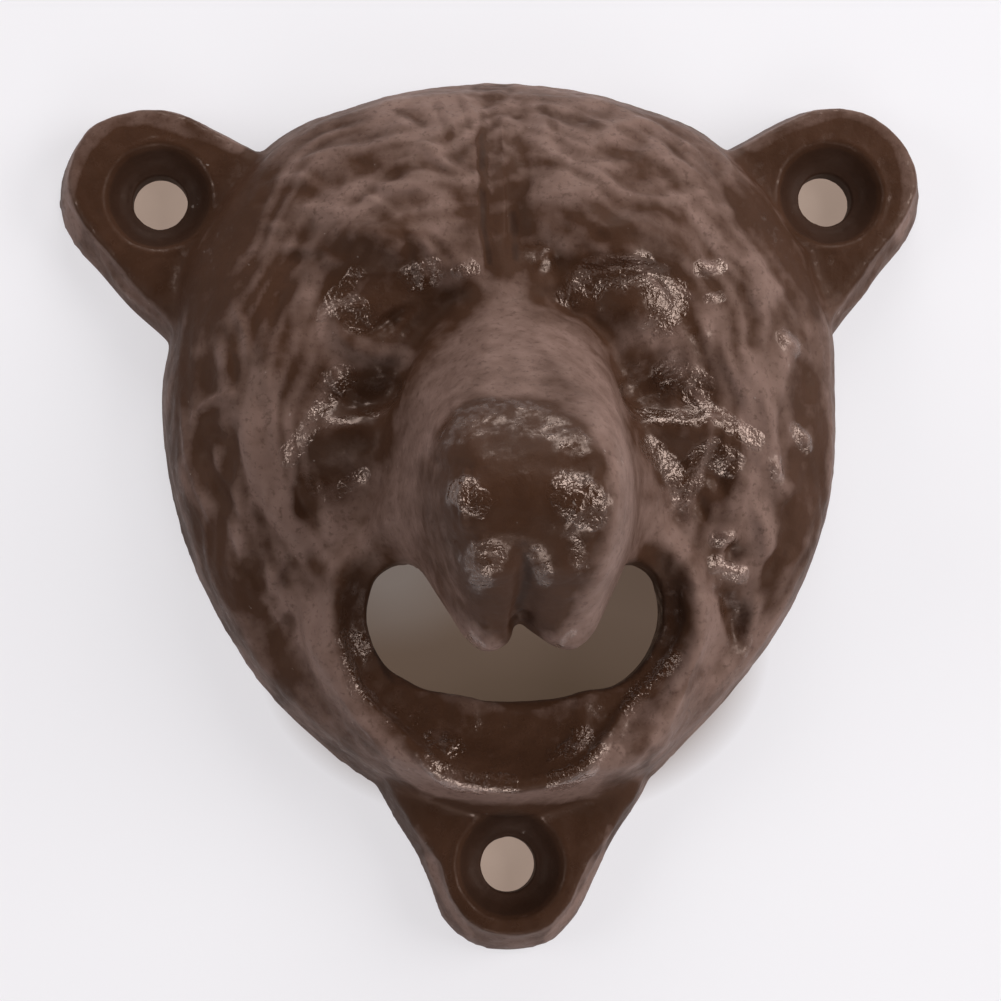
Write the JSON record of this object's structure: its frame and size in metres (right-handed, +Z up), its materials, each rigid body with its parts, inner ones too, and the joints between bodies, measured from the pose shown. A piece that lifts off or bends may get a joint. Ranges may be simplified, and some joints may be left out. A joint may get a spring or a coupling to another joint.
{
  "type": "wall-mounted bottle opener",
  "caption": "Cast bear's head that screws to a wall, with an open mouth whose hooded snout and lower lip lever the crown cap off a bottle.",
  "frame": {"origin": "midway between the two ear screw holes, on the wall plane", "axes": "+Y into the wall, front of the face towards -Y, +Z up, +X to the right as seen from the front"},
  "size_m": [0.1032, 0.0473, 0.103],
  "materials": {
    "brown_paint": "semi-gloss dark brown paint over rough sand-cast iron"
  },
  "bodies": {
    "root": {"bear_head_casting": "brown_paint"}
  },
  "joints": []
}
